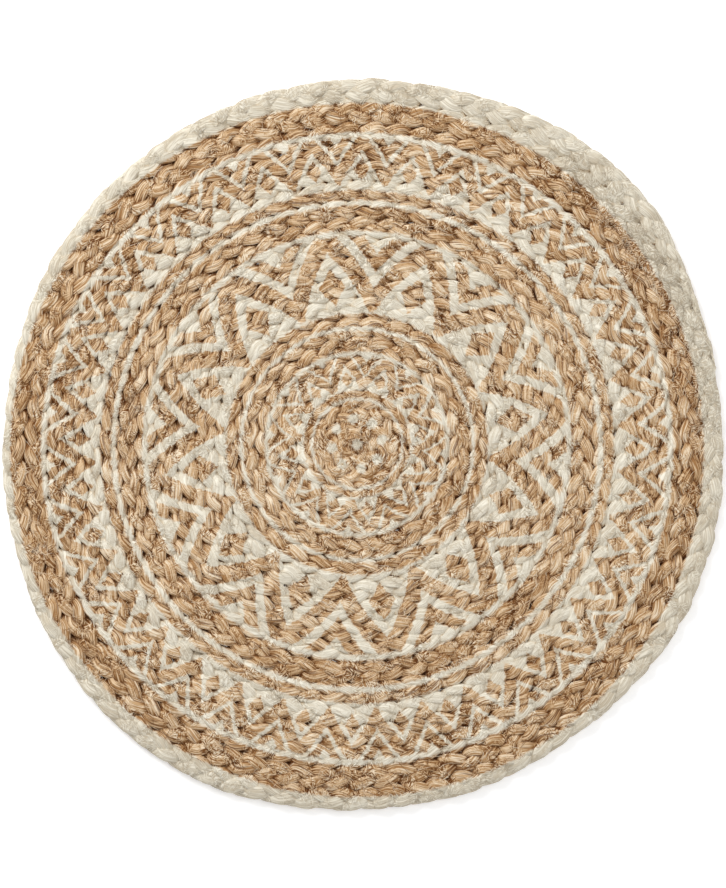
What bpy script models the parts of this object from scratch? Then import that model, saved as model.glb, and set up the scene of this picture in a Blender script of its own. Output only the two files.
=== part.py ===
"""A round placemat: one flat jute braid, coiled clockwise from the centre and sewn turn to turn.

Metres, +Z up. The printed side is up, and the mat lies on z = 0 with its box centred on the origin.
"""

import math

import bmesh
import bpy
import numpy as np

NAME = "braided_coil"
BRAID_WIDTH = 0.0105  # from one sewn joint to the next
RIM_BRAID_WIDTH = 0.0118  # the outermost turn, which isn't squeezed by a neighbour
TURNS = 18.5
START_TURNS = 0.5  # the braid's inner end is curled into the centre
END_ANGLE = math.radians(12)  # where the outer end has tapered away, from +X
TAPER_ANGLE = math.radians(28)
STEPS = 72  # sections of the braid in a turn

CREST_HEIGHT = 0.0064  # the top of each of the braid's two rows of lobes
VALLEY_HEIGHT = 0.0054  # the middle of the braid, where its strands cross
JOINT_HEIGHT = 0.0034  # the groove where two turns are sewn together
RIM_TUCK = 0.0018  # how far the rim rolls under the mat

# The mat's edge, in millimetres from the coil's centre, every 10 degrees anticlockwise from +X.
EDGE = (190.0, 189.6, 190.6, 193.8, 197.3, 196.6, 194.7, 191.9, 190.4, 190.2, 188.9, 188.6)
EDGE += (187.7, 187.2, 186.3, 185.7, 184.7, 184.2, 184.8, 185.5, 186.6, 189.2, 191.3, 192.7)
EDGE += (193.7, 193.2, 191.7, 190.5, 190.1, 190.3, 188.9, 189.2, 190.9, 192.2, 191.8, 191.3)
EVEN_DEPTH = (2.0, 9.0)  # turns in from the edge over which its unevenness fades out


def smooth(x):
    """0 below 0, 1 above 1, and an even slope change between."""
    t = np.clip(x, 0.0, 1.0)
    return t * t * (3.0 - 2.0 * t)


def edge_radius(angle):
    """The mat's edge at an angle, as a smooth closed curve through EDGE."""
    edge = np.array(EDGE) / 1000.0
    place = (angle / (2.0 * math.pi)) % 1.0 * len(edge)
    i = np.floor(place).astype(int)
    t = place - i
    a, b, c, d = (edge[(i + k) % len(edge)] for k in (-1, 0, 1, 2))
    bend = (2 * a - 5 * b + 4 * c - d) * t + (3 * (b - c) + d - a) * t * t
    return b + 0.5 * t * (c - a + bend)


def joint_radii():
    """The radius of the braid's outer side at each section, from the centre out."""
    last = round(TURNS * STEPS)
    n = np.arange(last + 1)
    depth = (last - n) / STEPS
    width = BRAID_WIDTH + (RIM_BRAID_WIDTH - BRAID_WIDTH) * smooth(2.0 - depth)
    width *= smooth(depth * 2.0 * math.pi / TAPER_ANGLE)
    radii = edge_radius(END_ANGLE + depth * 2.0 * math.pi)
    for k in range(last - STEPS, -1, -1):
        radii[k] = radii[k + STEPS] - width[k + STEPS]
    even = smooth((depth - EVEN_DEPTH[0]) / (EVEN_DEPTH[1] - EVEN_DEPTH[0]))
    return radii * (1.0 - even) + BRAID_WIDTH * n / STEPS * even


def wrap_braid(bm):
    """Winds a flat grid, one column for each section, into the coil, and sews its turns together."""
    radii = joint_radii()
    last = len(radii) - 1
    first = round(START_TURNS * STEPS)
    across = (0.0, 0.25, 0.5, 0.75, 1.0)
    rise = (0.0, 1.0, (VALLEY_HEIGHT - JOINT_HEIGHT) / (CREST_HEIGHT - JOINT_HEIGHT), 1.0, 0.0)
    bmesh.ops.create_grid(bm, x_segments=last - first, y_segments=4, size=1.0)
    for v in bm.verts:
        n = first + round((v.co.x + 1.0) / 2.0 * (last - first))
        row = round((v.co.y + 1.0) * 2.0)
        outer = radii[n]
        inner = radii[n - STEPS] if n >= first + STEPS else 0.0
        angle = END_ANGLE + (last - n) / STEPS * 2.0 * math.pi
        radius = outer + (inner - outer) * across[row]
        fullness = math.sqrt(min(1.0, (outer - inner) / BRAID_WIDTH))
        height = JOINT_HEIGHT + (CREST_HEIGHT - JOINT_HEIGHT) * rise[row] * fullness
        v.co = (radius * math.cos(angle), radius * math.sin(angle), height)
    bmesh.ops.remove_doubles(bm, verts=bm.verts, dist=0.00001)


def close_underside(bm):
    """Closes the braid's inner end, rolls the rim under and lays a flat face under the mat."""
    rim_reach = 0.9 * min(EDGE) / 1000.0
    inner_end = [e for e in bm.edges if e.is_boundary and e.verts[0].co.xy.length < rim_reach]
    bmesh.ops.holes_fill(bm, edges=inner_end, sides=0)
    rim = [e for e in bm.edges if e.is_boundary]
    rolled = bmesh.ops.extrude_edge_only(bm, edges=rim)["geom"]
    for v in (g for g in rolled if isinstance(g, bmesh.types.BMVert)):
        reach = v.co.xy.length
        v.co.xy *= (reach - RIM_TUCK) / reach
        v.co.z = 0.0
    bmesh.ops.holes_fill(bm, edges=[e for e in bm.edges if e.is_boundary], sides=0)


def centre_on_origin(bm):
    """Puts the middle of the mat's box over the origin."""
    x = [v.co.x for v in bm.verts]
    y = [v.co.y for v in bm.verts]
    middle = ((min(x) + max(x)) / 2.0, (min(y) + max(y)) / 2.0, 0.0)
    bmesh.ops.translate(bm, verts=bm.verts, vec=[-m for m in middle])


def jute():
    material = bpy.data.materials.new("jute")
    material.use_nodes = True
    shader = material.node_tree.nodes["Principled BSDF"]
    shader.inputs["Base Color"].default_value = (0.50, 0.33, 0.18, 1.0)
    shader.inputs["Roughness"].default_value = 0.9
    return material


def build():
    for o in list(bpy.data.objects):
        bpy.data.objects.remove(o)
    bm = bmesh.new()
    wrap_braid(bm)
    close_underside(bm)
    centre_on_origin(bm)
    bmesh.ops.recalc_face_normals(bm, faces=bm.faces)
    mesh = bpy.data.meshes.new(NAME)
    bm.to_mesh(mesh)
    bm.free()
    mesh.materials.append(jute())
    home = bpy.data.collections.new("braided_placemat")
    bpy.context.scene.collection.children.link(home)
    home.objects.link(bpy.data.objects.new(NAME, mesh))


build()
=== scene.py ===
# %% [markdown]
# # A round placemat of braided jute
#
# The mat is one long flat braid of three jute strands. It is coiled clockwise from the middle
# and sewn turn to turn, then a cream pattern of rings, zigzags and diamonds is printed on its
# top face. This lesson makes the three strands one by one, as a braider lays them, then the
# loose fibres, the finishes and the light.

# %% The frame
import math

import bmesh
import bpy
import numpy as np
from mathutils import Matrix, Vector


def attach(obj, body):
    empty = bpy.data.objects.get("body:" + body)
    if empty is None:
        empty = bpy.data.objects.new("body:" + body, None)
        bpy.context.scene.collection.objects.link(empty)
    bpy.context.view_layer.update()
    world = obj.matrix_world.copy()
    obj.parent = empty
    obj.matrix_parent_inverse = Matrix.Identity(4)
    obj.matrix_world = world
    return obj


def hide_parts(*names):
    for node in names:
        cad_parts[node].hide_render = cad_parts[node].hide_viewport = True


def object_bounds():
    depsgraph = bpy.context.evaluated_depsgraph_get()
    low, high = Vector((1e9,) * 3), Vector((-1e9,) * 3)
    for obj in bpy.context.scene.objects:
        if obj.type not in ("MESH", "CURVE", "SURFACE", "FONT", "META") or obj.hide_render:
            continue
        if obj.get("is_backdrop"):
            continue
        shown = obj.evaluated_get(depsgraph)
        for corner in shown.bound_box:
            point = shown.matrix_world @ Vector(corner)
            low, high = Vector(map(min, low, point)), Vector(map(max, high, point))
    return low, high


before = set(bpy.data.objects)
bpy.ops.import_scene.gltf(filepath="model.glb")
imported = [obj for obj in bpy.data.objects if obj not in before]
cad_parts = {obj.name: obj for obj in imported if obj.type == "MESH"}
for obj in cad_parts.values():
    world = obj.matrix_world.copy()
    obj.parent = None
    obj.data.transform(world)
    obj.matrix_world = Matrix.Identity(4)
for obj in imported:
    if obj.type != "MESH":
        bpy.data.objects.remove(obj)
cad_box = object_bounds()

print("placemat, width and depth:", np.round(cad_box[1] - cad_box[0], 4))

# %% [markdown]
# ## The coil
#
# Each turn of the braid lies against the one before it, so its place is known once the mat's
# edge is. The edge is uneven, as sewn by hand: EDGE is its radius in millimetres every ten
# degrees, as measured on the photo. From there the turns are stepped inwards one braid width at a
# time, and they even out towards the middle. The same sizes shape the plain solid, so the braid
# lands on it.

# %% The coil's path
BRAID_WIDTH = 0.0105  # from one sewn joint to the next
RIM_BRAID_WIDTH = 0.0118  # the outermost turn, which isn't squeezed by a neighbour
TURNS = 18.5
END_ANGLE = math.radians(12)  # where the outer end has tapered away, from +X
TAPER_ANGLE = math.radians(28)
STEPS = 72  # sections of the braid in a turn
RIM_TURNS = 2.0  # in from the end, over which the braid gets its inner width
EDGE = (190.0, 189.6, 190.6, 193.8, 197.3, 196.6, 194.7, 191.9, 190.4, 190.2, 188.9, 188.6)
EDGE += (187.7, 187.2, 186.3, 185.7, 184.7, 184.2, 184.8, 185.5, 186.6, 189.2, 191.3, 192.7)
EDGE += (193.7, 193.2, 191.7, 190.5, 190.1, 190.3, 188.9, 189.2, 190.9, 192.2, 191.8, 191.3)
EVEN_DEPTH = (2.0, 9.0)  # turns in from the edge over which its unevenness fades out


def smooth(x):
    """0 below 0, 1 above 1, and an even slope change between."""
    t = np.clip(x, 0.0, 1.0)
    return t * t * (3.0 - 2.0 * t)


def edge_radius(angle):
    """The mat's edge at an angle, as a smooth closed curve through EDGE."""
    edge = np.array(EDGE) / 1000.0
    place = (angle / (2.0 * math.pi)) % 1.0 * len(edge)
    i = np.floor(place).astype(int)
    t = place - i
    a, b, c, d = (edge[(i + k) % len(edge)] for k in (-1, 0, 1, 2))
    bend = (2 * a - 5 * b + 4 * c - d) * t + (3 * (b - c) + d - a) * t * t
    return b + 0.5 * t * (c - a + bend)


def joint_radii():
    """The radius of the braid's outer side at each section, from the centre out."""
    last = round(TURNS * STEPS)
    n = np.arange(last + 1)
    depth = (last - n) / STEPS
    width = BRAID_WIDTH + (RIM_BRAID_WIDTH - BRAID_WIDTH) * smooth(RIM_TURNS - depth)
    width *= smooth(depth * 2.0 * math.pi / TAPER_ANGLE)
    radii = edge_radius(END_ANGLE + depth * 2.0 * math.pi)
    for k in range(last - STEPS, -1, -1):
        radii[k] = radii[k + STEPS] - width[k + STEPS]
    even = smooth((depth - EVEN_DEPTH[0]) / (EVEN_DEPTH[1] - EVEN_DEPTH[0]))
    return radii * (1.0 - even) + BRAID_WIDTH * n / STEPS * even


radii = joint_radii()
rim_angles = np.radians(np.arange(0, 360, 360 / STEPS)) + END_ANGLE
rim_xy = edge_radius(rim_angles)[:, None] * np.stack([np.cos(rim_angles), np.sin(rim_angles)], 1)
coil_centre = -(rim_xy.min(0) + rim_xy.max(0)) / 2.0
print("the coil's centre in the mat's box, in mm:", np.round(coil_centre * 1000, 2))

# %% [markdown]
# ## Walking along the braid
#
# Everything on a braid is set out along its length, so the path is measured first: for each
# step of about a millimetre and a half, its middle, the sideways direction and how wide the
# braid is there. The braid starts curled up small in the middle and ends in a thin tail that
# is tucked against the turn before.

# %% Length, middle line and width
RING_STEP = 0.00153
FIRST_TURN = 0.12
PATH_POINTS = 40000  # fine enough to measure the path


def braid_walk():
    """Evenly spaced stations along the braid: length, middle, outward direction, half width."""
    turn = np.linspace(FIRST_TURN, TURNS, PATH_POINTS)
    places = np.arange(len(radii)) / STEPS
    outer = np.interp(turn, places, radii)
    inner = np.where(turn > 1.0, np.interp(turn - 1.0, places, radii), 0.0)
    angle = END_ANGLE + (TURNS - turn) * 2.0 * math.pi
    mid = (outer + inner) / 2.0
    xy = mid[:, None] * np.stack([np.cos(angle), np.sin(angle)], 1) + coil_centre
    along = np.concatenate([[0.0], np.cumsum(np.linalg.norm(np.diff(xy, axis=0), axis=1))])
    stations = np.arange(0.0, along[-1], RING_STEP)
    x, y, half, at_turn = (
        np.interp(stations, along, v) for v in (xy[:, 0], xy[:, 1], (outer - inner) / 2.0, turn)
    )
    tangent = np.stack([np.gradient(x), np.gradient(y)], 1)
    tangent /= np.linalg.norm(tangent, axis=1)[:, None]
    outward = np.stack([-tangent[:, 1], tangent[:, 0]], 1)
    return stations, np.stack([x, y], 1), outward, half, at_turn


length, middle, outward, half_width, at_turn = braid_walk()
print("the braid is", round(float(length[-1]), 2), "m long, in", len(length), "stations")

# %% [markdown]
# ## Uneven hand work
#
# A strand's pace, width and height wander, because hands aren't even. One helper makes all of
# that: random values at even spacings along the braid, with a smooth change between them.

# %% Wandering values
rng = np.random.default_rng(7)


def wander(amount, spacing, rows=()):
    """Random values up to the amount, either way, that change smoothly over the spacing."""
    knots = np.arange(0.0, length[-1] + 2 * spacing, spacing)
    values = rng.uniform(-1.0, 1.0, (*rows, len(knots)))
    i = np.clip((length / spacing).astype(int), 0, len(knots) - 2)
    t = smooth(length / spacing - i)
    return amount * (values[..., i] * (1.0 - t) + values[..., i + 1] * t)


# %% [markdown]
# ## One strand
#
# In a three-strand braid each strand swings from side to side and passes over, then under, the
# other two. Seen from above it comes up in the middle, runs out to one side on top, dives at the
# edge, and comes back underneath. So its sideways place is a wave along the braid, straighter
# than a sine and with rounded turns. Its height is a sine of twice that pace, and its section
# leans down at the edges. The other two strands are a third of a swing behind. A strand is two
# thirds as wide as the braid, so it swings only a little and lies nearly along the braid.

# %% Strand shape
SWING_LENGTH = 0.0384
TIGHT_MIDDLE = (5.0, 0.55)  # the turn where the swings start to shorten inwards, and their share
SWING = 0.66  # of the braid's half width
MIDDLE_SWING = 0.90  # the same where the coil starts
RIM_SWING = 0.40  # on the free side of the last turn
STRAIGHTNESS = 0.92  # 0 is a sine, and 1 is a zigzag with sharp corners
MAT_MIDDLE = 0.0032
RISE = 0.0011
CLIMB_POWER = 0.85  # 1 is a sine, and less has fuller crests
EDGE_LIFT = 0.0004  # how much higher a strand lies where it turns at the edge
CALM_MIDDLE = (6.0, 0.45)  # the turn where the relief starts to sink inwards, and its share
LATE_DIVE = 0.35  # radians of the swing by which a strand dives after the edge
SIZE_LIMITS = (0.12, 1.15)  # how thin and how fat the strands get where the braid's width changes
PACE_WANDER = (0.40, 0.06)  # radians of the swing and spacing, for all three strands together
STRAND_WANDER = (0.25, 0.03)  # the same for one strand alone
SWING_WANDER = (0.09, 0.02)  # share and spacing
HEIGHT_WANDER = (0.0003, 0.015)


def bowed(x, power):
    """x raised to a power, with its sign kept."""
    return np.sign(x) * np.abs(x) ** power


def fade_in(turn, start):
    """A factor that grows from start at the coil's middle to 1 at the given turn."""
    return start + (1.0 - start) * smooth(at_turn / turn)


pace = wander(*PACE_WANDER)
size = np.clip(half_width / (BRAID_WIDTH / 2.0), *SIZE_LIMITS)
calm = fade_in(*CALM_MIDDLE)
swings = np.cumsum(RING_STEP / (SWING_LENGTH * fade_in(*TIGHT_MIDDLE)))
swing_share = SWING * fade_in(TIGHT_MIDDLE[0], MIDDLE_SWING / SWING)


def strand_line(k):
    """The strand's middle line and its phase in the braid's swing."""
    phase = 2.0 * math.pi * (swings + k / 3.0) + pace + wander(*STRAND_WANDER)
    free = (np.sin(phase) > 0.0) & (at_turn > TURNS - 1.0)
    swing = half_width * np.where(free, RIM_SWING, swing_share)
    swing = swing * (1.0 + wander(*SWING_WANDER))
    climb = bowed(np.sin(2.0 * phase - LATE_DIVE), CLIMB_POWER)
    height = MAT_MIDDLE + RISE * calm * climb + EDGE_LIFT * np.sin(phase) ** 2
    height = height + wander(*HEIGHT_WANDER)
    wave = np.arcsin(STRAIGHTNESS * np.sin(phase)) / math.asin(STRAIGHTNESS)
    across = outward * (swing * wave)[:, None]
    return np.column_stack([middle + across, height]), phase


print("a strand swings", round(float(swings[-1]), 1), "times")

# %% [markdown]
# The strand's section is a full oval, a little wider where the other strands press on it. Jute
# strands are loose bundles, so each side of the section has its own slow swelling. Pressing and
# sewing flatten the mat: the crests are squeezed below a top level, and nothing goes under the
# table.

# %% Rings of a strand
HALF_WIDTH = 0.0033
HALF_THICKNESS = 0.0018
LEAF = 0.12  # the part of a strand's width that it loses where it starts to rise or dive
SPREAD = 0.15  # how much wider a strand is where the others press on it
DROOP = 0.18  # radians that a strand leans down at the edge of the braid
FULLNESS = 0.88  # 1 is an ellipse, and less is squarer
SIDES = 14
LEAN_WANDER = (0.2, 0.02)  # radians and spacing
FAT_WANDER = (0.13, 0.014)
SWELL_WANDER = (0.12, 0.012)
CREST_PRESS = (0.0054, 0.0010)  # the level where the squeezing starts, and the room above it
TABLE_PRESS = 0.0010  # under this level the strands are squeezed flat on the table
OWN_STREAKS = 20.0  # metres between the strands' fibre places, so that no two have one streak


def squeeze(z):
    """Heights with the crests and the underside pressed flat."""
    level, room = CREST_PRESS
    z = np.where(z > level, level + room * np.tanh((z - level) / room), z)
    return np.where(z < TABLE_PRESS, TABLE_PRESS * (1.0 - np.tanh(1.0 - z / TABLE_PRESS)), z)


def strand_rings(k):
    """Ring points (station, side, xyz), their places in the strand, and its direction."""
    centre, phase = strand_line(k)
    ahead = np.gradient(centre, axis=0)
    ahead /= np.linalg.norm(ahead, axis=1)[:, None]
    wide = np.cross([0.0, 0.0, 1.0], ahead)
    wide /= np.linalg.norm(wide, axis=1)[:, None]
    up = np.cross(ahead, wide)
    lean = DROOP * np.sin(phase) + wander(*LEAN_WANDER)
    across = np.cos(lean)[:, None] * wide - np.sin(lean)[:, None] * up
    through = np.sin(lean)[:, None] * wide + np.cos(lean)[:, None] * up
    fat = 1.0 + wander(*FAT_WANDER)
    leaf = 1.0 - LEAF * np.cos(2.0 * phase - LATE_DIVE) ** 2
    pressed = np.clip(-np.sin(2.0 * phase - LATE_DIVE), 0.0, 1.0)
    half_a = HALF_WIDTH * leaf * size * fat * (1.0 + SPREAD * pressed)
    half_b = HALF_THICKNESS * np.sqrt(size) / np.sqrt(fat)
    turn = 2.0 * math.pi * (np.arange(SIDES) + 0.5) / SIDES
    swell = 1.0 + wander(*SWELL_WANDER, (SIDES,)).T
    a = half_a[:, None] * bowed(np.cos(turn), FULLNESS) * swell
    b = half_b[:, None] * bowed(np.sin(turn), FULLNESS) * swell
    rings = centre[:, None] + a[..., None] * across[:, None] + b[..., None] * through[:, None]
    rings[..., 2] = squeeze(rings[..., 2])
    walked = np.concatenate([[0.0], np.cumsum(np.linalg.norm(np.diff(centre, axis=0), axis=1))])
    walked = walked + OWN_STREAKS * k
    fibre = np.stack([a, b, np.broadcast_to(walked[:, None], a.shape)], -1)
    return rings, fibre, ahead


strand_parts = [strand_rings(k) for k in range(3)]
print("crests reach", round(float(max(p[0][..., 2].max() for p in strand_parts)) * 1000, 2), "mm")

# %% [markdown]
# One stretch is worn fuzzy, just inside the place where the braid's outer end is sewn down, and
# the middle of the mat is a little rubbed. The outer turns and one stretch further in are of
# browner jute.

# %% Worn and browner stretches
WORN_TURNS = (0.975, 1.11)  # turns in from the braid's end
WORN_FADE = 0.012
RUBBED_TURNS = (2.0, 4.0)  # turns in from the end over which rubbing grows
RUBBED = 0.20
FUZZY_MIDDLE = (4.0, 0.6)  # the turn where the fuzz of the middle starts, and how strong it gets
BROWN_RIM = (14.0, 2.5, 0.11)  # from this turn, over so many turns, the jute is browner by this
BROWN_STRETCH = (11.6, 11.95, 0.12)  # between these turns it is browner too
BROWN_FADE = 0.05
turns_left = TURNS - at_turn
worn = smooth((turns_left - WORN_TURNS[0]) / WORN_FADE + 1.0)
worn = worn * smooth((WORN_TURNS[1] - turns_left) / WORN_FADE + 1.0)
rubbing = (turns_left - RUBBED_TURNS[0]) / (RUBBED_TURNS[1] - RUBBED_TURNS[0])
worn = np.maximum(worn, RUBBED * smooth(rubbing))
worn = np.maximum(worn, FUZZY_MIDDLE[1] * smooth(1.0 - at_turn / FUZZY_MIDDLE[0]))
brown = BROWN_RIM[2] * smooth((at_turn - BROWN_RIM[0]) / BROWN_RIM[1])
first, last, extra = BROWN_STRETCH
begun = smooth((at_turn - first) / BROWN_FADE)
left = smooth((last - at_turn) / BROWN_FADE)
brown = brown + extra * begun * left
print("the worn stretch is", round(float((worn > 0.99).sum() * RING_STEP), 3), "m long")

# %% [markdown]
# ## Where the hollows are
#
# Shade is painted into the hollows between strands, and the print doesn't reach into them. To
# know how deep a point lies, the rings are dropped on a grid of small cells that keeps the
# highest and the lowest point in each. A blur of that gives the mat's general level, and a
# point's depth under it becomes an attribute that the finish reads.

# %% Levels of the mat
CELL = 0.0006
MAP_HALF = 0.205  # past the mat's edge
LEVEL_REACH = 3  # cells


def fill_in(rings):
    """The rings' points with more between them, as one list."""
    closed = np.concatenate([rings, rings[:, :1]], 1)
    sides = np.concatenate([closed[:, :-1], (closed[:, :-1] + closed[:, 1:]) / 2.0], 1)
    between = [sides[:-1] + (sides[1:] - sides[:-1]) * t for t in (0.0, 1.0 / 3.0, 2.0 / 3.0)]
    return np.concatenate(between).reshape(-1, 3)


def cell_of(xy):
    """The grid cell under a point."""
    return tuple(((xy + MAP_HALF) / CELL).astype(int).T)


def blurred(level, reach):
    """The mean over a square window."""
    for axis in (0, 1):
        level = sum(np.roll(level, s, axis) for s in range(-reach, reach + 1)) / (2 * reach + 1)
    return level


cells = round(2 * MAP_HALF / CELL)
highest = np.zeros((cells, cells))
lowest = np.full((cells, cells), 2.0 * MAT_MIDDLE)
for rings, fibre, ahead in strand_parts:
    points = fill_in(rings)
    np.maximum.at(highest, cell_of(points[:, :2]), points[:, 2])
    np.minimum.at(lowest, cell_of(points[:, :2]), points[:, 2])
top_level = blurred(highest, LEVEL_REACH)
under_level = blurred(lowest, LEVEL_REACH)


def depth_under(points):
    """How far points lie inside the mat's general faces, less than 0 where they stand proud."""
    cell = cell_of(points[:, :2])
    below_top = top_level[cell] - points[:, 2]
    above_table = points[:, 2] - under_level[cell]
    return np.minimum(below_top, above_table)


print("mean top level, in mm:", round(float(top_level[top_level > MAT_MIDDLE].mean()) * 1000, 2))

# %% [markdown]
# ## Skinning the strands
#
# The skin of a strand starts as a flat grid with one row for each station. Its points are put
# on the rings, its long edges meet and are welded, and its two ends are filled. Each point also
# keeps its place in the strand, which the finish reads to draw the fibres along it, its depth in
# the mat and how worn it is.

# %% Skinning a strand
def strand_skin(name, rings, fibre):
    """A closed tube through the rings, with what the finish reads as attributes."""
    bm = bmesh.new()
    bmesh.ops.create_grid(bm, x_segments=len(rings) - 1, y_segments=SIDES, size=1.0)
    mesh = bpy.data.meshes.new(name)
    bm.to_mesh(mesh)
    bm.free()
    flat = np.zeros(len(mesh.vertices) * 3)
    mesh.vertices.foreach_get("co", flat)
    flat = flat.reshape(-1, 3)
    station = np.round((flat[:, 0] + 1.0) / 2.0 * (len(rings) - 1)).astype(int)
    side = np.round((flat[:, 1] + 1.0) / 2.0 * SIDES).astype(int) % SIDES
    points = rings[station, side]
    mesh.vertices.foreach_set("co", points.ravel())
    along = mesh.attributes.new("fibre", "FLOAT_VECTOR", "POINT")
    along.data.foreach_set("vector", fibre[station, side].ravel())
    looks = {"depth": depth_under(points), "worn": worn[station], "brown": brown[station]}
    for label, values in looks.items():
        mesh.attributes.new(label, "FLOAT", "POINT").data.foreach_set("value", values)
    bm = bmesh.new()
    bm.from_mesh(mesh)
    bmesh.ops.remove_doubles(bm, verts=bm.verts, dist=1e-7)
    bmesh.ops.holes_fill(bm, edges=[e for e in bm.edges if e.is_boundary], sides=0)
    bmesh.ops.recalc_face_normals(bm, faces=bm.faces)
    for f in bm.faces:
        f.smooth = True
    bm.to_mesh(mesh)
    bm.free()
    piece = bpy.data.objects.new(name, mesh)
    bpy.context.scene.collection.objects.link(piece)
    return piece


strands = []
for k, (rings, fibre, ahead) in enumerate(strand_parts):
    strands.append(strand_skin(f"jute_strand_{k + 1}", rings, fibre))
    faces = sum(len(f.vertices) - 2 for f in strands[-1].data.polygons)
    print(strands[-1].name, "has", faces, "triangles")

# %% [markdown]
# ## Loose fibres
#
# Jute sheds stiff hairs. Long ones lie nearly along the strands, and short ones stand in tufts
# where the needle and the braider's fingers roughened them, most of all along the sewn joints.
# Each is a thin tapered curve draped on the grid of heights made above, and none reaches past the
# rim. All hairs of one kind are splines of one curve object, which is far lighter than thousands
# of objects.

# %% Draping hairs
HAIR_RADIUS = 0.00014
HAIR_TAPER = 0.7  # the share of its thickness that a hair has lost at its tip
HAIR_ARCH = 1.2  # above 1, so that a hair comes down again before its tip
BARE_TABLE = 0.001  # where the grid is lower than this, there is no braid


def draped(start, angle, reach, bow, lift, points):
    """Points of a hair from its start, heading, length, sideways bow and lift, or None outside."""
    t = np.linspace(0.0, 1.0, points)
    heading = np.array([math.cos(angle), math.sin(angle)])
    side = np.array([-heading[1], heading[0]])
    xy = start + reach * (heading * t[:, None] + side * bow * (t * t)[:, None])
    ground = highest[cell_of(xy)]
    if ground.min() < BARE_TABLE:
        return None
    arch = np.sin(math.pi * np.minimum(t * HAIR_ARCH, 1.0))
    z = ground + 0.5 * HAIR_RADIUS + lift * arch
    return np.column_stack([xy, z])


def hair_curve(name, hairs):
    """One curve object with a spline for each hair."""
    curve = bpy.data.curves.new(name, "CURVE")
    curve.dimensions = "3D"
    curve.bevel_depth = HAIR_RADIUS
    curve.bevel_resolution = 0
    curve.use_fill_caps = True
    for hair in (h for h in hairs if h is not None):
        spline = curve.splines.new("POLY")
        spline.points.add(len(hair) - 1)
        spline.points.foreach_set("co", np.column_stack([hair, np.ones(len(hair))]).ravel())
        thickness = 1.0 - HAIR_TAPER * np.linspace(0.0, 1.0, len(hair))
        spline.points.foreach_set("radius", thickness)
    piece = bpy.data.objects.new(name, curve)
    bpy.context.scene.collection.objects.link(piece)
    return piece


# %% [markdown]
# The long hairs start anywhere on the strands' upper sides and follow them. The tufts are put
# along the joints and, fewer, along the braid's middle, and most densely on the worn stretch.
# Half of the hairs are pale and half are brown, as the fibres in a jute strand are. The brown ones
# also stand in for thin shadow lines between fibres, so their dark tone is partly painted shade.

# %% Long hairs and tufts
HAIR_LIFT = 0.0004  # the most that a hair arches off the braid
BARE_ENDS = 20  # stations at each end of the braid without hairs
LONG_HAIRS = 2500
NEAR_TOP = 3  # sides of the strand's section, either way from its highest
LONG_STRAY = 0.45  # radians off the strand's direction
LONG_REACH = (0.003, 0.010)
LONG_BOW = 0.14  # of a hair's length
LONG_POINTS = 5
TUFTS = 430
TUFT_HAIRS = 10
WORN_TUFTS = 6  # each sixth tuft is on the worn stretch
TUFT_PLACES = (-1.0, -0.9, 0.0, 0.9, 1.0)  # of the braid's half width
RIM_TUFT_PLACES = (-1.0, -0.8, 0.0)
TUFT_SPREAD = 0.0014
TUFT_REACH = (0.0018, 0.0045)
TUFT_BOW = 0.3
TUFT_POINTS = 3


def long_hairs():
    """Single hairs that lie nearly along the strands."""
    hairs = []
    for _ in range(LONG_HAIRS):
        rings, fibre, ahead = strand_parts[rng.integers(3)]
        i = int(rng.integers(BARE_ENDS, len(rings) - BARE_ENDS))
        j = int(np.argmax(rings[i, :, 2]) + rng.integers(-NEAR_TOP, NEAR_TOP + 1)) % SIDES
        angle = math.atan2(ahead[i, 1], ahead[i, 0]) + rng.normal(0.0, LONG_STRAY)
        angle += math.pi * rng.integers(2)
        reach = rng.uniform(*LONG_REACH)
        bow = rng.normal(0.0, LONG_BOW)
        lift = rng.uniform(0.0, HAIR_LIFT)
        hairs.append(draped(rings[i, j, :2], angle, reach, bow, lift, LONG_POINTS))
    return hairs


def tuft_place(n):
    """The middle of a tuft on the braid."""
    if n % WORN_TUFTS == 0:
        i = int(rng.choice(worn_places))
    else:
        i = int(rng.integers(BARE_ENDS, len(length) - BARE_ENDS))
    places = RIM_TUFT_PLACES if at_turn[i] > TURNS - 1.0 else TUFT_PLACES
    return middle[i] + outward[i] * (rng.choice(places) * half_width[i])


def tuft_hairs():
    """Short hairs that cross at every angle in a tuft."""
    hairs = []
    for n in range(TUFTS):
        spot = tuft_place(n)
        for _ in range(TUFT_HAIRS):
            start = spot + rng.normal(0.0, TUFT_SPREAD, 2)
            reach = rng.uniform(*TUFT_REACH)
            bow = rng.normal(0.0, TUFT_BOW)
            lift = rng.uniform(0.0, HAIR_LIFT)
            angle = rng.uniform(0.0, 2.0 * math.pi)
            hairs.append(draped(start, angle, reach, bow, lift, TUFT_POINTS))
    return hairs


worn_places = np.flatnonzero(worn > 0.5)
hair_pieces = []
for shade in ("pale", "brown"):
    hair_pieces.append(hair_curve(f"long_hairs_{shade}", long_hairs()))
    hair_pieces.append(hair_curve(f"tufts_{shade}", tuft_hairs()))
for piece in hair_pieces:
    print(piece.name, "has", len(piece.data.splines), "hairs")

# %% [markdown]
# ## The printed pattern
#
# The print was laid on the finished flat mat, so it is worked out from a point's place on the
# mat and not along the strands. It is drawn with node groups, small trees that can be used again,
# and the next helpers keep those short.

# %% Small helpers for node trees
def put(tree, kind, **values):
    """A node with its properties set."""
    node = tree.nodes.new(kind)
    for name, value in values.items():
        setattr(node, name, value)
    return node


def feed(tree, socket, value):
    """Links a socket into an input, or sets the input to a number or colour."""
    if isinstance(value, bpy.types.NodeSocket):
        tree.links.new(value, socket)
    else:
        socket.default_value = value


def sums(tree):
    """A function that adds Math nodes and takes sockets or numbers."""
    def calc(operation, *terms):
        node = put(tree, "ShaderNodeMath", operation=operation)
        for socket, term in zip(node.inputs, terms):
            feed(tree, socket, term)
        return node.outputs[0]
    return calc


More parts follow.
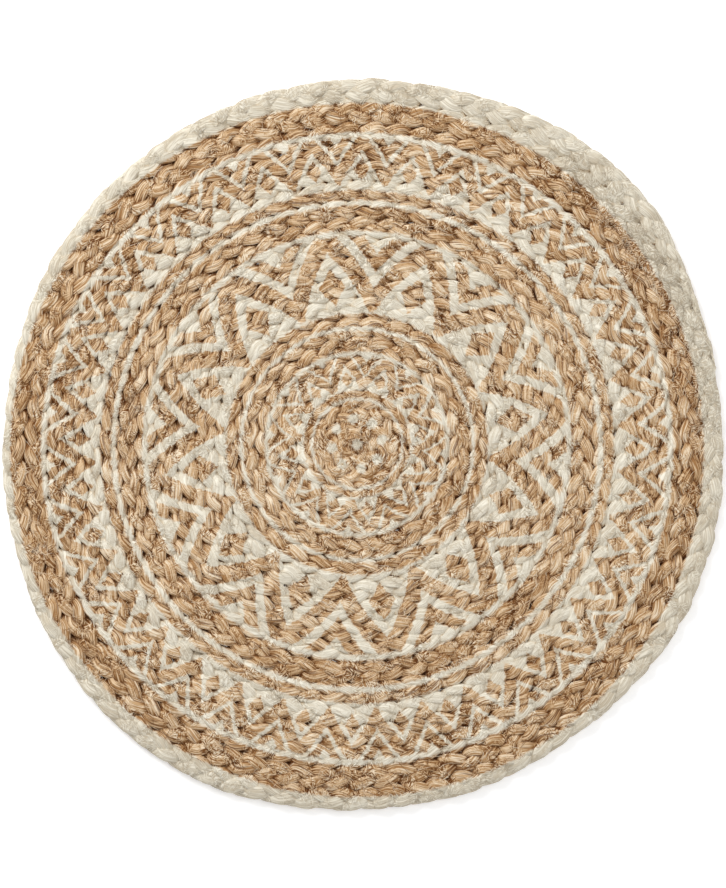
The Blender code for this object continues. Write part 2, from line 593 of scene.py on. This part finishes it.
def new_group(name, inputs, outputs):
    """An empty shader node group with named float (f), vector (v) or colour (c) sockets."""
    tree = bpy.data.node_groups.new(name, "ShaderNodeTree")
    kinds = {"f": "NodeSocketFloat", "v": "NodeSocketVector", "c": "NodeSocketColor"}
    for direction, sockets in (("INPUT", inputs), ("OUTPUT", outputs)):
        for label, kind in sockets.items():
            tree.interface.new_socket(label, in_out=direction, socket_type=kinds[kind])
    return tree, put(tree, "NodeGroupInput"), put(tree, "NodeGroupOutput")


def use_group(tree, group, **values):
    """The group placed in a tree, with numbers or links on its inputs."""
    node = put(tree, "ShaderNodeGroup", node_tree=group)
    for label, value in values.items():
        feed(tree, node.inputs[label], value)
    return node


# %% [markdown]
# A first group turns the Object coordinates into a radius in millimetres and an angle in turns.
# The print's rings are stretched a little towards the mat's lower side as they go out. The angles
# keep to the middle.

# %% Radius and angle on the mat
PRINT_CENTRE = (-0.00306, 0.00026)
PRINT_SLIP = 3.2  # mm, at this reach from the centre:
PRINT_SLIP_REACH = 180.0
PRINT_SLIP_POWER = 2.7
MM = 1000.0  # in a metre


def make_polar_group():
    tree, given, result = new_group("mat_polar", {"Place": "v"}, {"Radius": "f", "Turn": "f"})
    calc = sums(tree)
    split = put(tree, "ShaderNodeSeparateXYZ")
    tree.links.new(given.outputs["Place"], split.inputs[0])
    x = calc("MULTIPLY", calc("SUBTRACT", split.outputs[0], PRINT_CENTRE[0]), MM)
    y = calc("MULTIPLY", calc("SUBTRACT", split.outputs[1], PRINT_CENTRE[1]), MM)
    rough_r = calc("SQRT", calc("ADD", calc("MULTIPLY", x, x), calc("MULTIPLY", y, y)))
    angle = calc("ARCTAN2", y, x)
    slip = calc("POWER", calc("DIVIDE", rough_r, PRINT_SLIP_REACH), PRINT_SLIP_POWER)
    y = calc("ADD", y, calc("MULTIPLY", slip, PRINT_SLIP))
    radius = calc("SQRT", calc("ADD", calc("MULTIPLY", x, x), calc("MULTIPLY", y, y)))
    tree.links.new(radius, result.inputs["Radius"])
    tree.links.new(calc("DIVIDE", angle, 2.0 * math.pi), result.inputs["Turn"])
    return tree


polar_group = make_polar_group()
print("made", polar_group.name, "with", len(polar_group.nodes), "nodes")

# %% [markdown]
# One group draws a zigzag band. Within a repeat, the distance from the diamond's middle line and
# the height in the band add up to one number, which is the same all along a slanting stripe. So
# the cream triangle, the bare zigzag, the cream line and the small bare V are just ranges of it.
# Ink creeps along the fibres, so every edge is a soft step and not a sharp one.

# %% The zigzag band
BAND_SOCKETS = ("Low", "High", "Repeats", "Slope", "Triangle", "LineLow", "LineHigh", "Notch")
BAND_SOCKETS += ("Base", "Ring", "DiamondMid", "DiamondTall", "DiamondWide")
BAND_PHASE = 9.0 / 360.0  # turns from +X to the middle of a first repeat
EDGE_WIDTH = 1.7  # mm from no ink to full ink


def soft_step(tree, width):
    """A function below(a, b): 1 where a is less than b, 0 where more, and soft between."""
    def below(a, b):
        gap = sums(tree)("SUBTRACT", b, a)
        node = put(tree, "ShaderNodeMath", operation="MULTIPLY_ADD", use_clamp=True)
        feed(tree, node.inputs[0], gap)
        feed(tree, node.inputs[1], sums(tree)("DIVIDE", 1.0, width))
        node.inputs[2].default_value = 0.5
        return node.outputs[0]
    return below


def make_band_group():
    sockets = {"Radius": "f", "Turn": "f", **{s: "f" for s in BAND_SOCKETS}}
    tree, given, result = new_group("zigzag_band", sockets, {"Print": "f"})
    calc = sums(tree)
    want = given.outputs
    tall = calc("SUBTRACT", want["High"], want["Low"])
    v = calc("DIVIDE", calc("SUBTRACT", want["Radius"], want["Low"]), tall)
    turn = calc("MULTIPLY", calc("SUBTRACT", want["Turn"], BAND_PHASE), want["Repeats"])
    near = calc("SUBTRACT", calc("FRACT", calc("ADD", turn, 0.5)), 0.5)
    u = calc("MULTIPLY", calc("ABSOLUTE", near), 2.0)
    slant = calc("ADD", v, calc("MULTIPLY", u, want["Slope"]))
    below = soft_step(tree, calc("DIVIDE", EDGE_WIDTH, tall))
    triangle = below(slant, want["Triangle"])
    line = calc("MULTIPLY", below(want["LineLow"], slant), below(slant, want["LineHigh"]))
    notch = below(want["Notch"], slant)
    base = below(v, want["Base"])
    ring = below(want["Ring"], v)
    high = calc("ABSOLUTE", calc("SUBTRACT", v, want["DiamondMid"]))
    wide = calc("MULTIPLY", u, calc("DIVIDE", want["DiamondTall"], want["DiamondWide"]))
    bare = below(calc("ADD", high, wide), want["DiamondTall"])
    cream = calc("MAXIMUM", calc("MAXIMUM", triangle, line), notch)
    cream = calc("MULTIPLY", cream, calc("SUBTRACT", 1.0, bare))
    cream = calc("MAXIMUM", cream, calc("MAXIMUM", base, ring))
    inside = calc("MULTIPLY", below(0.0, v), below(v, 1.0))
    tree.links.new(calc("MULTIPLY", cream, inside), result.inputs["Print"])
    return tree


band_group = make_band_group()
print("made", band_group.name, "with", len(band_group.nodes), "nodes")

# %% [markdown]
# The whole print is the border, three plain rings, three zigzag bands of different size, a ring of
# eight dots and one dot in the middle. The sizes are in millimetres from the print's centre. Noise
# moves the edges a little, as ink does on coarse fibre.

# %% The whole print
BORDER = 179.9  # the border runs from here to the mat's edge
RINGS = ((22.6, 24.3), (59.2, 61.3), (125.0, 127.8))
BAND_VALUES = (
    # Low, High, Repeats, Slope, Triangle, LineLow, LineHigh, Notch, Base, Ring, diamond
    (27.8, 48.1, 12, 0.79, 0.68, 1.07, 1.195, 1.51, 0.06, 0.89, 0.295, 0.19, 0.37),
    (67.9, 111.6, 12, 0.776, 0.752, 1.098, 1.275, 1.505, 0.03, 0.933, 0.330, 0.222, 0.325),
    (133.2, 164.1, 36, 0.645, 0.700, 1.048, 1.165, 1.405, 0.09, 0.905, 0.360, 0.198, 0.335),
)
DOT_RING, DOT_SIZE, DOTS = 13.0, 2.7, 8
EDGE_NOISE_SCALE = 400.0
EDGE_NOISE_DETAIL = 2.0
EDGE_NOISE_REACH = 0.0028


def roughened(tree, place):
    """The place moved a little by noise."""
    rough = put(tree, "ShaderNodeTexNoise")
    rough.inputs["Scale"].default_value = EDGE_NOISE_SCALE
    rough.inputs["Detail"].default_value = EDGE_NOISE_DETAIL
    tree.links.new(place, rough.inputs["Vector"])
    shake = put(tree, "ShaderNodeVectorMath", operation="MULTIPLY_ADD")
    tree.links.new(rough.outputs["Color"], shake.inputs[0])
    shake.inputs[1].default_value = (EDGE_NOISE_REACH, EDGE_NOISE_REACH, 0.0)
    shake.inputs[2].default_value = (-EDGE_NOISE_REACH / 2, -EDGE_NOISE_REACH / 2, 0.0)
    moved = put(tree, "ShaderNodeVectorMath", operation="ADD")
    tree.links.new(place, moved.inputs[0])
    tree.links.new(shake.outputs[0], moved.inputs[1])
    return moved.outputs[0]


def make_print_group():
    tree, given, result = new_group("cream_print", {"Place": "v"}, {"Print": "f", "Border": "f"})
    calc = sums(tree)
    below = soft_step(tree, EDGE_WIDTH)
    polar = use_group(tree, polar_group, Place=roughened(tree, given.outputs["Place"]))
    radius, turn = polar.outputs["Radius"], polar.outputs["Turn"]
    border = below(BORDER, radius)
    cream = border
    for low, high in RINGS:
        cream = calc("MAXIMUM", cream, calc("MULTIPLY", below(low, radius), below(radius, high)))
    for values in BAND_VALUES:
        named = dict(zip(BAND_SOCKETS, (float(v) for v in values)))
        band = use_group(tree, band_group, Radius=radius, Turn=turn, **named)
        cream = calc("MAXIMUM", cream, band.outputs["Print"])
    repeat = calc("MULTIPLY", calc("SUBTRACT", turn, BAND_PHASE), float(DOTS))
    near = calc("FRACT", calc("ADD", repeat, 0.5))
    side = calc("MULTIPLY", calc("SUBTRACT", near, 0.5), 2.0 * math.pi * DOT_RING / DOTS)
    out = calc("SUBTRACT", radius, DOT_RING)
    away = calc("SQRT", calc("ADD", calc("MULTIPLY", side, side), calc("MULTIPLY", out, out)))
    dots = below(calc("MINIMUM", away, radius), DOT_SIZE)
    tree.links.new(calc("MAXIMUM", cream, dots), result.inputs["Print"])
    tree.links.new(border, result.inputs["Border"])
    return tree


print_group = make_print_group()
print("made", print_group.name, "with", len(print_group.nodes), "nodes")

# %% [markdown]
# ## The finish
#
# Jute is a bundle of long straight fibres, so its colour and its fine relief run as streaks along
# the strand. The fibre attribute gives each point's place across and along its strand, and noise
# that is squeezed across and stretched along turns into streaks: fine ones for single fibres,
# broad ones for the sub-bundles, slow patches where a greener or browner plant was spun in, and a
# few long splits between fibres, which get painted shade.

# %% Fibre streaks
STREAKS = (
    # name, bands per metre across and along, noise detail, values that become 0 and 1
    ("Fine", 2000.0, 90.0, 2.0, 0.44, 0.56),
    ("Broad", 520.0, 60.0, 2.0, 0.40, 0.60),
    ("Patch", 60.0, 45.0, 1.0, 0.36, 0.64),
    ("Split", 900.0, 80.0, 1.0, 0.60, 0.70),
)


def ramp(tree, value, low, high):
    """value stretched so that low gives 0 and high gives 1."""
    node = put(tree, "ShaderNodeMapRange")
    node.inputs["From Min"].default_value = low
    node.inputs["From Max"].default_value = high
    tree.links.new(value, node.inputs["Value"])
    return node.outputs["Result"]


def make_streak_group():
    names = {row[0]: "f" for row in STREAKS}
    tree, given, result = new_group("fibre_streaks", {"Fibre": "v"}, names)
    for label, across, along, detail, low, high in STREAKS:
        stretch = put(tree, "ShaderNodeVectorMath", operation="MULTIPLY")
        stretch.inputs[1].default_value = (across, across, along)
        noise = put(tree, "ShaderNodeTexNoise")
        noise.inputs["Scale"].default_value = 1.0
        noise.inputs["Detail"].default_value = detail
        tree.links.new(given.outputs["Fibre"], stretch.inputs[0])
        tree.links.new(stretch.outputs[0], noise.inputs["Vector"])
        tree.links.new(ramp(tree, noise.outputs["Fac"], low, high), result.inputs[label])
    return tree


streak_group = make_streak_group()
print("made", streak_group.name)

# %% [markdown]
# Rubbing lifts short fibres that cross at every angle. They are too many to model one by one, so
# a second group draws them between the modelled hairs: a cell pattern gives each patch of about
# three millimetres its own angle, and noise stretched along that angle draws the fibres there.

# %% Crossed fibres
FUZZ_CELL_SCALE = 330.0
FUZZ_STRETCH = (1900.0, 320.0, 320.0)
FUZZ_PATCH_SCALE = 120.0
HATCH_STEP = (0.42, 0.58)  # the noise values that become 0 and 1
WHERE_STEP = (0.45, 0.62)


def make_fuzz_group():
    tree, given, result = new_group("crossed_fibres", {"Place": "v"}, {"Hatch": "f", "Where": "f"})
    cells = put(tree, "ShaderNodeTexVoronoi")
    cells.inputs["Scale"].default_value = FUZZ_CELL_SCALE
    tree.links.new(given.outputs["Place"], cells.inputs["Vector"])
    split = put(tree, "ShaderNodeSeparateColor")
    tree.links.new(cells.outputs["Color"], split.inputs["Color"])
    turned = put(tree, "ShaderNodeVectorRotate", rotation_type="Z_AXIS")
    tree.links.new(given.outputs["Place"], turned.inputs["Vector"])
    tree.links.new(sums(tree)("MULTIPLY", split.outputs[0], math.pi), turned.inputs["Angle"])
    stretch = put(tree, "ShaderNodeVectorMath", operation="MULTIPLY")
    stretch.inputs[1].default_value = FUZZ_STRETCH
    tree.links.new(turned.outputs["Vector"], stretch.inputs[0])
    for source, scale, low, high, label in (
        (stretch.outputs[0], 1.0, *HATCH_STEP, "Hatch"),
        (given.outputs["Place"], FUZZ_PATCH_SCALE, *WHERE_STEP, "Where"),
    ):
        noise = put(tree, "ShaderNodeTexNoise")
        noise.inputs["Scale"].default_value = scale
        tree.links.new(source, noise.inputs["Vector"])
        tree.links.new(ramp(tree, noise.outputs["Fac"], low, high), result.inputs[label])
    return tree


fuzz_group = make_fuzz_group()
print("made", fuzz_group.name)

# %% [markdown]
# The bare jute runs from dark brown through tan to straw, and a colour ramp picks from that by
# the streaks. The hollows get a painted shade of dark warm brown. The print is a thin cream coat
# that lets a little of the streaks through, and in the creases it gets a darker, warmer painted
# shade.

# %% Colours
JUTE_TONES = (
    (0.00, (0.15, 0.054, 0.011)),
    (0.25, (0.335, 0.172, 0.064)),
    (0.50, (0.54, 0.348, 0.183)),
    (0.75, (0.685, 0.500, 0.315)),
    (1.00, (0.80, 0.672, 0.500)),
)
# Painted shade: the dark warm brown that the hollows and the splits between fibres are blended to.
HOLLOW_SHADE = (0.105, 0.030, 0.004, 1.0)
CREAM = (0.83, 0.780, 0.660, 1.0)
CREAM_SHADE = (0.54, 0.465, 0.345, 1.0)
# Painted shade: the darker, warmer cream in the print's creases.
CREAM_CREASE_SHADE = (0.68, 0.53, 0.345, 1.0)


def blend(tree, factor, a, b):
    """A colour mix of two sockets or colours."""
    node = put(tree, "ShaderNodeMix", data_type="RGBA")
    for socket, value in ((node.inputs[0], factor), (node.inputs[6], a), (node.inputs[7], b)):
        feed(tree, socket, value)
    return node.outputs[2]


def tone_ramp(tree, value):
    """The jute's colour for a streak value."""
    node = put(tree, "ShaderNodeValToRGB")
    stops = node.color_ramp.elements
    while len(stops) < len(JUTE_TONES):
        stops.new(0.5)
    for stop, (place, colour) in zip(stops, JUTE_TONES):
        stop.position = place
        stop.color = (*colour, 1.0)
    tree.links.new(value, node.inputs["Fac"])
    return node.outputs["Color"]


def kept(tree, label, output="Fac"):
    """What a strand's points keep under this name."""
    return put(tree, "ShaderNodeAttribute", attribute_name=label).outputs[output]


print("the jute runs through", len(JUTE_TONES), "colours")

# %% [markdown]
# A strand's tone is the sum of its streaks. Crossed fibres take the place of the fine streaks
# where the strand is deep, rubbed or worn. Where it is bare it also gets painted light on the
# crests and painted shade on the flanks, and it is darker where the jute is browner. A hair has
# one tone that only changes slowly over the mat.

# %% Tones
STREAK_WEIGHTS = (0.56, 0.12, 0.30)  # fine, broad, patch
STREAK_MIDDLE = 0.02  # added, so that even streaks give a middle tone
FUZZY_DEPTH = (0.0003, 0.0010)  # metres under the mat's level
HATCH_CONTRAST = (1.5, -0.38)  # factor and offset
# Painted light on the crests and painted shade on the flanks of bare jute.
RELIEF_LIGHT_AND_SHADE = (-0.0006, 0.0007, 0.30)  # depths between which the tone falls, and by how much
# The brown hairs' dark tone is partly painted shade for thin shadow lines between fibres.
HAIR_TONES = {"pale": 0.85, "brown": 0.12}
HAIR_NOISE_SCALE = 150.0


def fine_fibres(tree, place, depth, streaks):
    """The fine streaks, or crossed fibres where the strand is deep, rubbed or worn."""
    calc = sums(tree)
    fuzz = use_group(tree, fuzz_group, Place=place).outputs
    rubbed = calc("MAXIMUM", ramp(tree, depth, *FUZZY_DEPTH), fuzz["Where"])
    rubbed = calc("MAXIMUM", rubbed, kept(tree, "worn"))
    hatched = calc("MULTIPLY_ADD", fuzz["Hatch"], *HATCH_CONTRAST)
    change = calc("MULTIPLY", rubbed, calc("SUBTRACT", hatched, streaks["Fine"]))
    return calc("ADD", streaks["Fine"], change)


def strand_tones(tree, depth, fine, streaks):
    """A strand's tone from its streaks, and its tone where it is bare."""
    calc = sums(tree)
    kinds = zip((fine, streaks["Broad"], streaks["Patch"]), STREAK_WEIGHTS)
    parts = [calc("MULTIPLY", value, weight) for value, weight in kinds]
    tone = calc("ADD", calc("ADD", parts[0], parts[1]), calc("ADD", parts[2], STREAK_MIDDLE))
    # Painted light on the crests, painted shade on the flanks.
    proud = calc("SUBTRACT", 0.5, ramp(tree, depth, *RELIEF_LIGHT_AND_SHADE[:2]))
    bare = calc("MULTIPLY_ADD", proud, RELIEF_LIGHT_AND_SHADE[2], tone)
    return tone, calc("SUBTRACT", bare, kept(tree, "brown"))


def hair_tone_at(tree, place, tone):
    """A hair's tone, which changes slowly over the mat."""
    noise = put(tree, "ShaderNodeTexNoise")
    noise.inputs["Scale"].default_value = HAIR_NOISE_SCALE
    tree.links.new(place, noise.inputs["Vector"])
    return ramp(tree, noise.outputs["Fac"], 0.5 - tone, 1.5 - tone)


print("hair tones:", HAIR_TONES)

# %% [markdown]
# The print is on the top face only and stays out of the deep hollows. Its edge is led by the
# streaks too, because ink creeps along the fibres. The border is a little duller than the rest.

# %% Print over jute
CREAM_TONES = (-0.05, 0.90)  # the streak tones that give the shade and the full cream
BORDER_SHADE = 0.20  # how much more of the shade the border has
# Depths over which the print turns to its painted crease shade.
CREASE_SHADE_DEPTH = (0.0001, 0.0013)  # metres under the mat's level
BARE_DEPTH = (0.0009, 0.0015)
PRINTED_HEIGHT = (0.0012, 0.0020)  # metres over the table
INK_CREEP = 0.4  # how far the streaks decide where the print's edge lies
INK_STEP = (0.10, 0.90)


def cream_coat(tree, tone, border, depth):
    """The print's colour, with painted shade in the creases. A hair has no depth."""
    calc = sums(tree)
    dulled = calc("MULTIPLY", border, BORDER_SHADE)
    light = calc("SUBTRACT", ramp(tree, tone, *CREAM_TONES), dulled)
    cream = blend(tree, calc("MAXIMUM", light, 0.0), CREAM_SHADE, CREAM)
    if depth is None:
        return cream
    return blend(tree, ramp(tree, depth, *CREASE_SHADE_DEPTH), cream, CREAM_CREASE_SHADE)


def ink_cover(tree, place, tone, printed, depth):
    """How much of the jute the print hides. A hair has no depth."""
    calc = sums(tree)
    height = put(tree, "ShaderNodeSeparateXYZ")
    tree.links.new(place, height.inputs[0])
    creep = calc("MULTIPLY_ADD", calc("SUBTRACT", tone, 0.5), INK_CREEP, printed)
    on_top = ramp(tree, height.outputs[2], *PRINTED_HEIGHT)
    inked = calc("MULTIPLY", ramp(tree, creep, *INK_STEP), on_top)
    if depth is None:
        return inked
    reached = calc("SUBTRACT", 1.0, ramp(tree, depth, *BARE_DEPTH))
    return calc("MULTIPLY", inked, reached)


print("the print reaches", BARE_DEPTH[1] * 1000, "mm into the hollows")

# %% [markdown]
# Hollows and splits between fibres are shaded, unless the print covers them. Jute is matt, and
# the fine fibres stand out as a low relief.

# %% The finishes
# Painted shade fills the hollows over these depths.
SHADED_DEPTH = (0.0000, 0.0011)  # metres under the mat's level
SHADED_NOISE = 0.0005  # metres that the streaks add to a point's depth
SPLIT_SHADE = 0.7
INK_HIDES = 0.98  # the share of the shade that full print takes away
ROUGHNESS = 0.85
SHINE = 0.25
FIBRE_RELIEF = 0.0002


def shaded(tree, colour, depth, fine, split, inked):
    """The colour with painted shade in its hollows and splits."""
    calc = sums(tree)
    uneven = calc("MULTIPLY", calc("SUBTRACT", 0.5, fine), SHADED_NOISE)
    shade = ramp(tree, calc("ADD", depth, uneven), *SHADED_DEPTH)
    shade = calc("MAXIMUM", shade, calc("MULTIPLY", split, SPLIT_SHADE))
    shade = calc("MULTIPLY", shade, calc("SUBTRACT", 1.0, calc("MULTIPLY", inked, INK_HIDES)))
    return blend(tree, shade, colour, HOLLOW_SHADE)


def jute_material(name, hair_tone=None):
    """Natural jute, printed cream on top. A hair has one tone, and a strand has streaks."""
    material = bpy.data.materials.new(name)
    material.use_nodes = True
    tree = material.node_tree
    shader = tree.nodes["Principled BSDF"].inputs
    place = put(tree, "ShaderNodeTexCoord").outputs["Object"]
    depth = None
    if hair_tone is None:
        depth = kept(tree, "depth")
        streaks = use_group(tree, streak_group, Fibre=kept(tree, "fibre", "Vector")).outputs
        fine = fine_fibres(tree, place, depth, streaks)
        tone, bare_tone = strand_tones(tree, depth, fine, streaks)
    else:
        tone = bare_tone = hair_tone_at(tree, place, hair_tone)
    laid = use_group(tree, print_group, Place=place).outputs
    cream = cream_coat(tree, tone, laid["Border"], depth)
    inked = ink_cover(tree, place, tone, laid["Print"], depth)
    colour = blend(tree, inked, tone_ramp(tree, bare_tone), cream)
    if hair_tone is None:
        colour = shaded(tree, colour, depth, fine, streaks["Split"], inked)
        bump = put(tree, "ShaderNodeBump")
        bump.inputs["Strength"].default_value = 1.0
        bump.inputs["Distance"].default_value = FIBRE_RELIEF
        tree.links.new(fine, bump.inputs["Height"])
        tree.links.new(bump.outputs["Normal"], shader["Normal"])
    tree.links.new(colour, shader["Base Color"])
    shader["Roughness"].default_value = ROUGHNESS
    shader["Specular IOR Level"].default_value = SHINE
    return material


strand_finish = jute_material("jute_printed")
hair_finishes = [jute_material(f"jute_{shade}", tone) for shade, tone in HAIR_TONES.items()]
for piece in strands:
    piece.data.materials.append(strand_finish)
for i, piece in enumerate(hair_pieces):
    piece.data.materials.append(hair_finishes[i // 2])
print("finishes:", strand_finish.name, [finish.name for finish in hair_finishes])

# %% [markdown]
# ## On the frame
#
# The three strands and the loose fibres together stand for the plain coil. The mat is a flat
# cloth of 0.38 m across, laid on the table.

# %% Riding on the frame
for piece in (*strands, *hair_pieces):
    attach(piece, "root")
    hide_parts("braided_coil")

# %% [markdown]
# ## Floor and light
#
# The mat lies on a white ground in soft light that is stronger from the upper left. The large key
# light is near and fairly low, so it shows the strands' relief and fades across the mat. The
# floor has a faint light of its own, which keeps it white. The view transform is Standard, so that
# a colour can be compared with the photo.

# %% Floor and lights
KEY = ((-0.80, 1.02, 0.95), 0.80, 18.0)  # place, size, watts
FILL = ((1.05, 0.1, 1.5), 1.4, 8.0)
SKY = 0.66
FLOOR_SIZE = 6.0
FLOOR_GAP = 0.0002  # under the mat
FLOOR_COLOUR = (0.93, 0.93, 0.93, 1.0)
FLOOR_ROUGHNESS = 0.9
FLOOR_LIGHT = 0.2
WHITE = (1.0, 1.0, 1.0, 1.0)


def area_light(name, place, size, power):
    """A square soft light that faces the mat's middle."""
    data = bpy.data.lights.new(name, "AREA")
    data.size = size
    data.energy = power
    light = bpy.data.objects.new(name, data)
    light.location = place
    light.rotation_euler = (-light.location).to_track_quat("-Z", "Y").to_euler()
    bpy.context.scene.collection.objects.link(light)


bpy.ops.mesh.primitive_plane_add(size=FLOOR_SIZE, location=(0.0, 0.0, -FLOOR_GAP))
floor = bpy.context.object
floor.name = "floor"
pale = bpy.data.materials.new("pale_floor")
pale.use_nodes = True
ground = pale.node_tree.nodes["Principled BSDF"].inputs
ground["Base Color"].default_value = FLOOR_COLOUR
ground["Roughness"].default_value = FLOOR_ROUGHNESS
ground["Emission Color"].default_value = WHITE
ground["Emission Strength"].default_value = FLOOR_LIGHT
floor.data.materials.append(pale)
floor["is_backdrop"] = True
area_light("key", *KEY)
area_light("fill", *FILL)
world = bpy.data.worlds.new("studio")
world.use_nodes = True
sky = world.node_tree.nodes["Background"].inputs
sky["Color"].default_value = WHITE
sky["Strength"].default_value = SKY
bpy.context.scene.world = world
bpy.context.scene.view_settings.view_transform = "Standard"
print("lights: key", KEY[2], "W, fill", FILL[2], "W, sky", SKY)

# %% [markdown]
# ## Camera
#
# The camera looks straight down from two metres, which keeps the mat's rim free of perspective.
# Its lens is chosen so that a pixel of the picture is 0.519 mm on the mat.

# %% Camera
PIXEL = 0.000519
PICTURE_TALL = 888
EYE_HEIGHT = 2.0
SENSOR = 24.0
PICTURE_MIDDLE = 0.00026  # half a pixel towards the picture's top
CREST_LEVEL = 0.005  # the height at which a pixel has that size
lens = bpy.data.cameras.new("camera")
lens.sensor_fit = "VERTICAL"
lens.sensor_height = SENSOR
lens.lens = SENSOR * EYE_HEIGHT / (PICTURE_TALL * PIXEL)
camera = bpy.data.objects.new("camera", lens)
camera.location = (0.0, PICTURE_MIDDLE, EYE_HEIGHT + CREST_LEVEL)
bpy.context.scene.collection.objects.link(camera)
bpy.context.scene.camera = camera
print("lens, in mm:", round(lens.lens, 1))

# %% [markdown]
# ## The two boxes, and the end
#
# The dressed mat has to stay as large as the plain solid, so both boxes are written down.

# %% Sizes and finish
bpy.context.view_layer.update()
boxes = {"cad": cad_box, "visual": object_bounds()}
for name, box in boxes.items():
    print(name, "box:", np.round(np.array(box) * 1000, 1).tolist())
